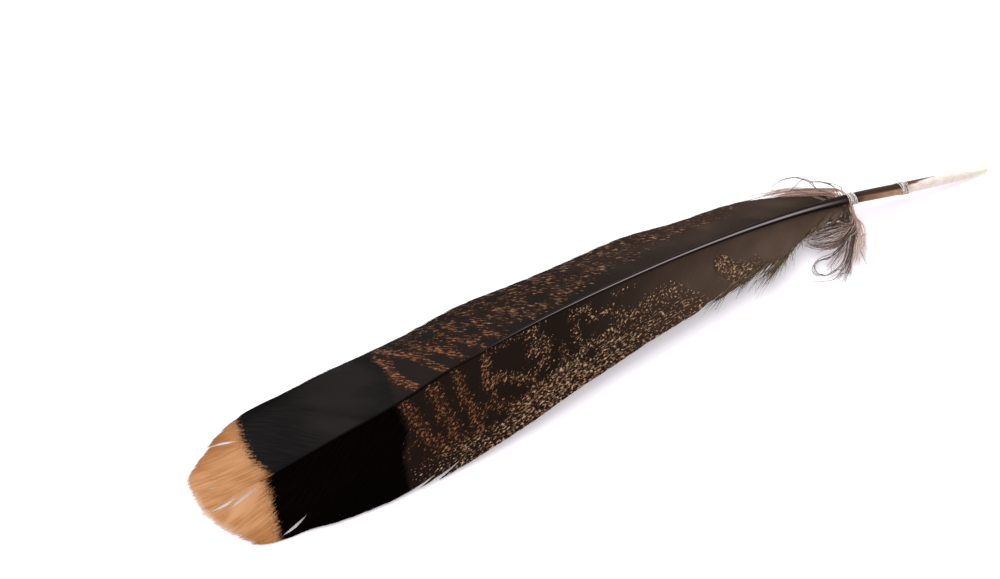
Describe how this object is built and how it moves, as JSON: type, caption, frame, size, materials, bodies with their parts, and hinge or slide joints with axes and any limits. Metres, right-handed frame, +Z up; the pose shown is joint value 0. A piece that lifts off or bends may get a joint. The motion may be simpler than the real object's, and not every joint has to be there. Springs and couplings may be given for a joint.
{
  "type": "turkey tail feather",
  "caption": "Tail feather that lies on a surface: curved shaft with bare quill, mottled vanes ending in a dark band and tan tip, loose down, and thread wraps round the quill.",
  "frame": {"origin": "middle of the feather's footprint, on the surface it lies on", "axes": "+X from the quill to the tip, +Y to the feather's left with the tip ahead and its upper side up, +Z up"},
  "size_m": [0.3299, 0.0635, 0.0129],
  "materials": {
    "vane": "satin",
    "shaft": "gloss",
    "down": "matte",
    "thread": "satin"
  },
  "bodies": {
    "root": {"feather": "vane", "inner_thread_wrap": "thread", "outer_thread_wrap": "thread"}
  },
  "joints": []
}
